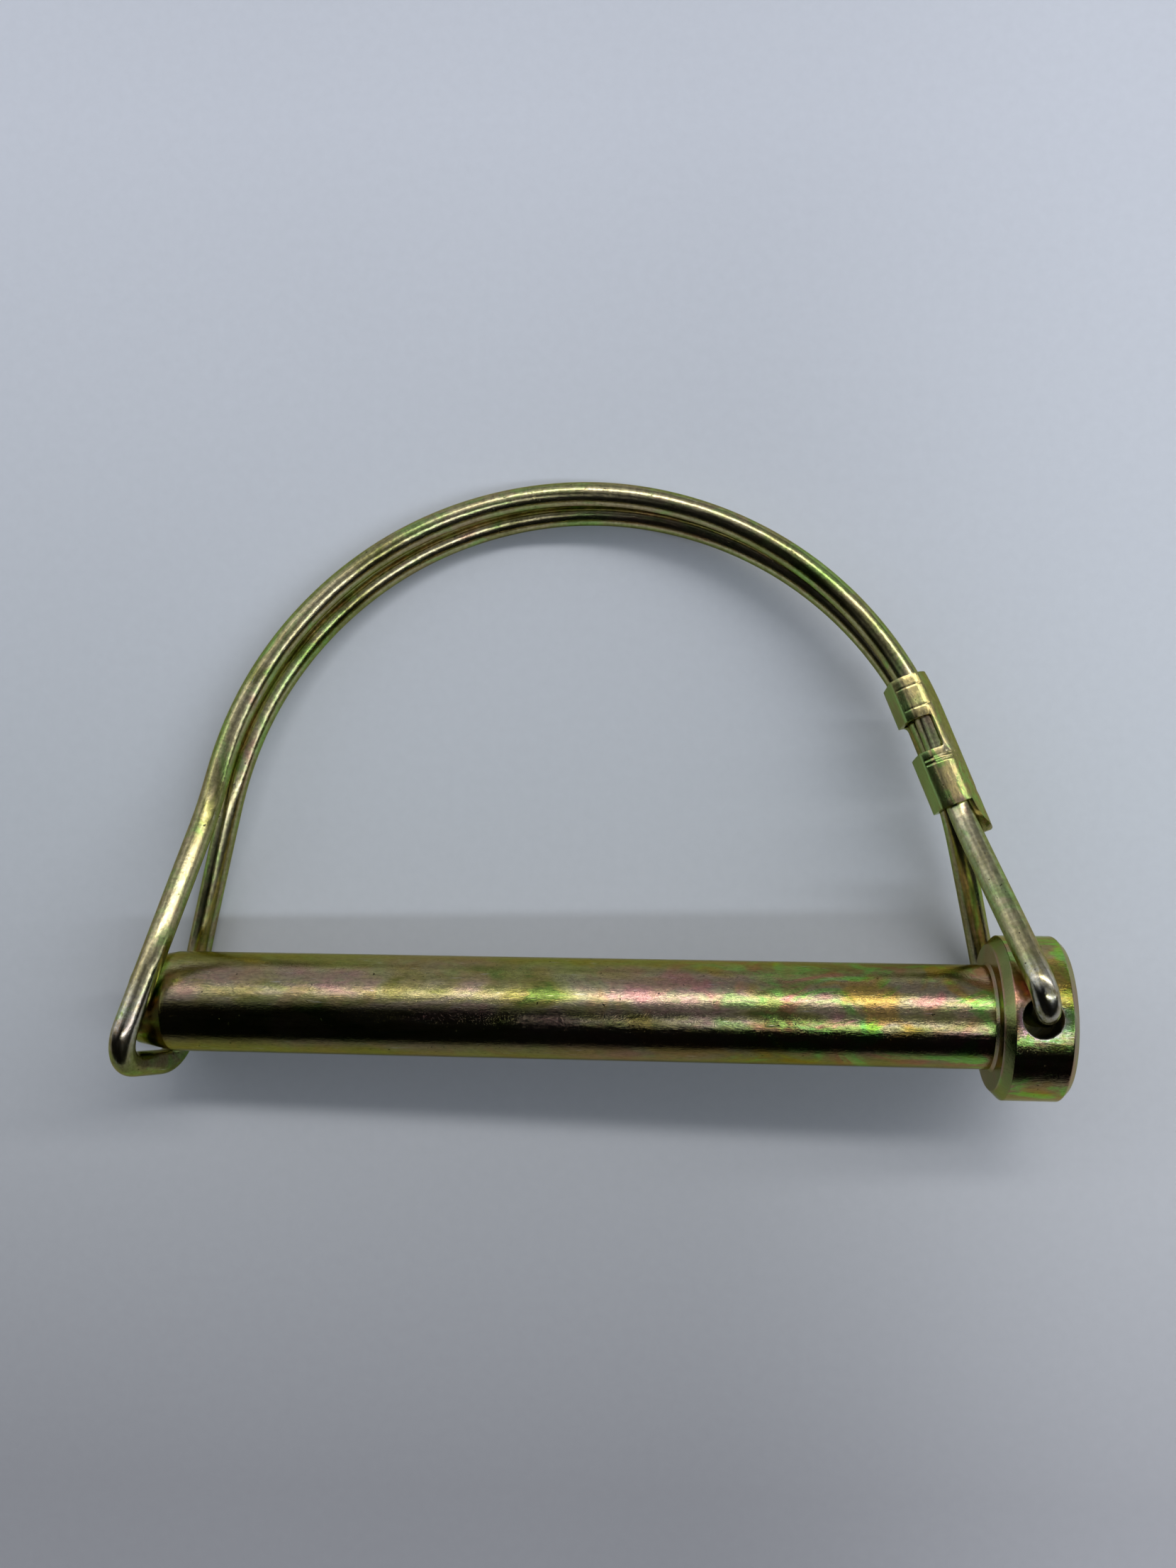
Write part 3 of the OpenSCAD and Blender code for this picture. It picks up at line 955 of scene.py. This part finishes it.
def pale_floor():
    """Pale grey-blue with a little grain, and painted shade: lighter away from the viewer, darker near it."""
    n = Nodes(bpy.data.materials.new("pale_floor"))
    where = n.add("ShaderNodeTexCoord").outputs["Object"]
    # Painted shade: the floor darkens towards the viewer
    tone = n.remap(n.part(where, "Y"), -0.05, 0.09)
    colour = n.ramp(tone, [(0.0, (0.285, 0.29, 0.315)), (0.25, (0.405, 0.42, 0.45)), (0.5, (0.47, 0.50, 0.54)),
                           (1.0, (0.62, 0.65, 0.725))])
    # Painted light and shade: brighter towards the right, most of all near the viewer
    painted_light_right = n.remap(n.part(where, "X"), -0.03, 0.03, smooth=True)
    gain = n.plus(n.times(painted_light_right, n.remap(tone, 0, 1, 0.5, 0.1)), 1.0)
    colour = n.vector_math("MULTIPLY", colour, n.add("ShaderNodeCombineXYZ", {0: gain, 1: gain, 2: gain}))
    speckle = n.plus(n.times(n.noise(where, 900, 3, 0.6), 0.5), n.times(n.noise(where, 14, 2, 0.5), 0.5))
    speckle = n.ramp(speckle, [(0.3, (0.6, 0.6, 0.62)), (0.7, (1.2, 1.2, 1.2))])
    colour = n.mix(0.10, colour, speckle, "MULTIPLY")
    return n.finish(n.add("ShaderNodeBsdfPrincipled", {"Base Color": colour, "Roughness": 0.75,
                                                       "Specular IOR Level": 0.2}))


def add_floor():
    points = np.vstack([np.array([o.matrix_world @ v.co for v in o.data.vertices]) for o in (wire, pin, clip)])
    up, level = resting_plane(points)
    across = (Vector((1, 0, 0)) - up * up.x).normalized()
    axes = Matrix((across, up.cross(across), up)).transposed().to_4x4()
    floor = new_object("floor", [(-3, -3, 0), (3, -3, 0), (3, 3, 0), (-3, 3, 0)], [(0, 1, 2, 3)], smooth=False)
    floor.matrix_world = Matrix.Translation(up * level) @ axes
    floor.data.materials.append(pale_floor())


# ---------------------------------------------------------------- light: strips and fields round the piece
# Edges of the bright panel, in degrees up from the camera
PANEL = (34.3, 36.5, 39.3, 41.5)


def band(n, x, edges, low=0.0, end=0.0):
    """Rises from low to 1 over the first two edges, and falls to end over the last two."""
    a, b, c, d = edges
    return n.times(n.remap(x, a, b, low, 1, smooth=True), n.remap(x, c, d, 1, end, smooth=True))


def room(n, angle, across, panel, panel_from, second, second_edges, second_end, between_from, right_dim, glow):
    """Strength of the light by angle, up from the camera, and across, to the right, in degrees."""
    right = n.remap(across, -10, 6, 0, right_dim, smooth=True)
    dim = n.times(right, n.remap(angle, 95, 112, 1, 0, smooth=True))
    turned = n.plus(angle, n.remap(across, -6, 8, 0, 30 * right_dim, smooth=True))
    left = n.remap(across, -48, -30, 1, 0, smooth=True)
    behind = n.remap(angle, -178, -140, 0.3, 1, smooth=True)
    # The panel, the soft field beyond it, a second strip below the camera, a glow by the panel,
    # a dim field round the camera, the left side, and the field under and behind the piece
    parts = [
        (panel, band(n, angle, PANEL), band(n, across, (*panel_from, 45, 75), 0.2, 0.1)),
        (0.38, band(n, angle, (0, 26, 100, 150), 0, 0.25), n.minus(1.0, dim)),
        (second, band(n, angle, (-20, -18.5, -15.5, -13.5)), band(n, across, second_edges, 0, second_end)),
        (glow, band(n, angle, (36, 42, 54, 68)), band(n, across, (-20, -10, 0, 5))),
        (0.22, band(n, angle, (-27, -20, 4, 12)), n.remap(across, *between_from, smooth=True)),
        (0.45, left, band(n, angle, (-20, 10, 60, 90))),
        (0.35, n.remap(turned, -112, -92, 1, 0, smooth=True), behind)]
    total = 0.004
    for gain, up_down, sideways in parts:
        total = n.plus(total, n.times(n.times(up_down, sideways), gain))
    return total


def studio_light():
    world = bpy.data.worlds.new("studio")
    bpy.context.scene.world = world
    n = Nodes(world)
    ray = n.add("ShaderNodeTexCoord").outputs["Generated"]
    along_up, along_back, along_right = (n.vector_math("DOT_PRODUCT", ray, tuple(axis), "Value")
                                         for axis in (UP, BACK, RIGHT))
    angle = n.math("DEGREES", n.math("ARCTAN2", along_up, along_back))
    across = n.math("DEGREES", n.math("ARCSINE", along_right))
    # What the metal mirrors is dimmer than what lights the floor, as through a diffuser
    lighting = room(n, angle, across, panel=20.0, panel_from=(-15, -6), second=14.0, second_edges=(3, 8, 40, 60),
                    second_end=0.0, between_from=(-6, 10), right_dim=0.0, glow=0.0)
    mirrored = room(n, angle, across, panel=5.8, panel_from=(-22, -11), second=8.0, second_edges=(-4, -1, 0, 4),
                    second_end=0.6, between_from=(-7, -1), right_dim=0.4, glow=0.3)
    path = n.add("ShaderNodeLightPath")
    strength = n.mix(path.outputs["Is Glossy Ray"], lighting, mirrored)
    tint = n.mix(band(n, angle, PANEL), (0.86, 0.92, 1.0, 1), (1.0, 0.985, 0.96, 1))
    sky = n.add("ShaderNodeBackground", {"Color": tint, "Strength": strength})
    plain = n.add("ShaderNodeBackground", {"Color": (0.62, 0.66, 0.72, 1), "Strength": 1.0})
    mixed = n.add("ShaderNodeMixShader", {0: path.outputs["Is Camera Ray"], 1: sky, 2: plain})
    n.finish(mixed, "ShaderNodeOutputWorld")


add_camera()
add_floor()
studio_light()
bpy.context.scene.view_settings.view_transform = "Standard"
bpy.context.view_layer.update()
